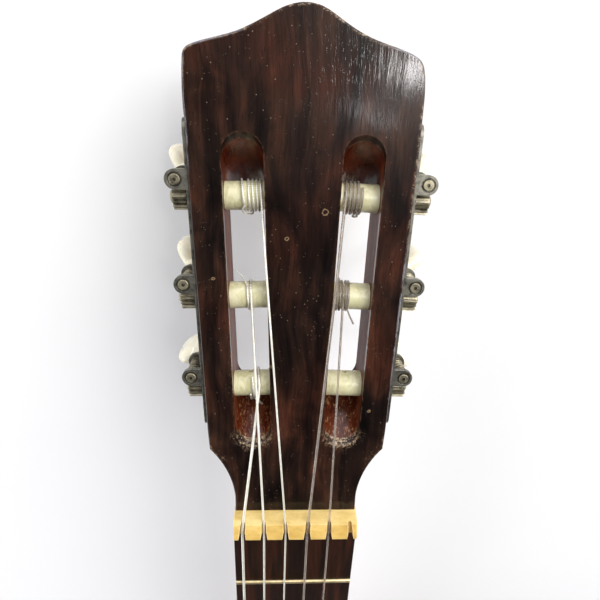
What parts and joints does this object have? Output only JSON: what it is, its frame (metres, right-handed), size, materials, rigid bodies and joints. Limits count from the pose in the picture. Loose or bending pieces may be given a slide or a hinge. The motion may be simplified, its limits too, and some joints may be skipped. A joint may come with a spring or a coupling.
{
  "type": "classical guitar",
  "caption": "Nylon-strung guitar with a flat-backed hollow body, fretted neck and slotted head whose worm-geared rollers are turned by side buttons.",
  "frame": {"origin": "on the back's flat outer face, on the centre line, midway along the body", "axes": "+X to the treble side, +Y along the neck to the head, +Z out of the soundboard"},
  "size_m": [0.365, 0.9916, 0.1101],
  "materials": {
    "spruce": "satin",
    "rosewood": "gloss lacquer",
    "rosewood_dark": "gloss lacquer",
    "mahogany": "gloss lacquer",
    "ebony": "oiled",
    "rosette_inlay": "lacquered",
    "binding": "gloss lacquer",
    "bone": "polished",
    "nickel": "worn",
    "fret_wire": "polished",
    "roller_plastic": "worn",
    "button_plastic": "pearl",
    "wound_string": "wound",
    "nylon": "clear"
  },
  "bodies": {
    "guitar": {"soundboard": "spruce", "back_plate": "rosewood", "bass_side": "rosewood", "treble_side": "rosewood", "linings": "spruce", "bindings": "binding", "tail_block": "mahogany", "heel_block": "mahogany", "fan_struts": "spruce", "harmonic_bars": "spruce", "back_braces": "spruce", "back_strip": "spruce", "soundhole_doubler": "spruce", "rosette": "rosette_inlay", "bridge": "rosewood_dark", "saddle": "bone", "neck": "mahogany", "heel_cap": "rosewood", "headstock": "mahogany", "head_veneer": "rosewood_dark", "fretboard": "ebony", "frets": "fret_wire", "nut": "bone", "tuner_plate_bass": "nickel", "tuner_plate_treble": "nickel", "plate_screws": "nickel", "string_6": "wound_string", "string_5": "wound_string", "string_4": "wound_string", "string_3": "nylon", "string_2": "nylon"},
    "worm_shaft_6": {"worm_6": "nickel", "button_6": "button_plastic"},
    "roller_shaft_6": {"roller_6": "roller_plastic", "gear_6": "nickel", "winding_6": "wound_string"},
    "worm_shaft_5": {"worm_5": "nickel", "button_5": "button_plastic"},
    "roller_shaft_5": {"roller_5": "roller_plastic", "gear_5": "nickel", "winding_5": "wound_string"},
    "worm_shaft_4": {"worm_4": "nickel", "button_4": "button_plastic"},
    "roller_shaft_4": {"roller_4": "roller_plastic", "gear_4": "nickel", "winding_4": "wound_string"},
    "worm_shaft_3": {"worm_3": "nickel", "button_3": "button_plastic"},
    "roller_shaft_3": {"roller_3": "roller_plastic", "gear_3": "nickel", "winding_3": "nylon"},
    "worm_shaft_2": {"worm_2": "nickel", "button_2": "button_plastic"},
    "roller_shaft_2": {"roller_2": "roller_plastic", "gear_2": "nickel", "winding_2": "nylon"},
    "worm_shaft_1": {"worm_1": "nickel", "button_1": "button_plastic"},
    "roller_shaft_1": {"roller_1": "roller_plastic", "gear_1": "nickel"}
  },
  "joints": [
    {"name": "button_6_turn", "type": "hinge", "parent": "guitar", "child": "worm_shaft_6", "pos_m": [-0.03872, 0.62814, 0.07499], "axis": [0, 0.2453, 0.9694], "continuous": true},
    {"name": "roller_6_turn", "type": "hinge", "parent": "guitar", "child": "roller_shaft_6", "pos_m": [-0.03379, 0.62236, 0.07645], "axis": [0.9995, 0.031, -0.0078], "continuous": true},
    {"name": "button_5_turn", "type": "hinge", "parent": "guitar", "child": "worm_shaft_5", "pos_m": [-0.03984, 0.66208, 0.0664], "axis": [0, 0.2453, 0.9694], "continuous": true},
    {"name": "roller_5_turn", "type": "hinge", "parent": "guitar", "child": "roller_shaft_5", "pos_m": [-0.03491, 0.65629, 0.06786], "axis": [0.9995, 0.031, -0.0078], "continuous": true},
    {"name": "button_4_turn", "type": "hinge", "parent": "guitar", "child": "worm_shaft_4", "pos_m": [-0.04096, 0.69601, 0.05782], "axis": [0, 0.2453, 0.9694], "continuous": true},
    {"name": "roller_4_turn", "type": "hinge", "parent": "guitar", "child": "roller_shaft_4", "pos_m": [-0.03603, 0.69022, 0.05928], "axis": [0.9995, 0.031, -0.0078], "continuous": true},
    {"name": "button_3_turn", "type": "hinge", "parent": "guitar", "child": "worm_shaft_3", "pos_m": [0.04096, 0.69601, 0.05782], "axis": [0, 0.2453, 0.9694], "continuous": true},
    {"name": "roller_3_turn", "type": "hinge", "parent": "guitar", "child": "roller_shaft_3", "pos_m": [0.03603, 0.69022, 0.05928], "axis": [0.9995, -0.031, 0.0078], "continuous": true},
    {"name": "button_2_turn", "type": "hinge", "parent": "guitar", "child": "worm_shaft_2", "pos_m": [0.03984, 0.66208, 0.0664], "axis": [0, 0.2453, 0.9694], "continuous": true},
    {"name": "roller_2_turn", "type": "hinge", "parent": "guitar", "child": "roller_shaft_2", "pos_m": [0.03491, 0.65629, 0.06786], "axis": [0.9995, -0.031, 0.0078], "continuous": true},
    {"name": "button_1_turn", "type": "hinge", "parent": "guitar", "child": "worm_shaft_1", "pos_m": [0.03872, 0.62814, 0.07499], "axis": [0, 0.2453, 0.9694], "continuous": true},
    {"name": "roller_1_turn", "type": "hinge", "parent": "guitar", "child": "roller_shaft_1", "pos_m": [0.03379, 0.62236, 0.07645], "axis": [0.9995, -0.031, 0.0078], "continuous": true}
  ],
  "couplings": [
    {"joint": "roller_6_turn", "follows": "button_6_turn", "ratio": -0.066667},
    {"joint": "roller_5_turn", "follows": "button_5_turn", "ratio": -0.066667},
    {"joint": "roller_4_turn", "follows": "button_4_turn", "ratio": -0.066667},
    {"joint": "roller_3_turn", "follows": "button_3_turn", "ratio": -0.066667},
    {"joint": "roller_2_turn", "follows": "button_2_turn", "ratio": -0.066667},
    {"joint": "roller_1_turn", "follows": "button_1_turn", "ratio": -0.066667}
  ]
}
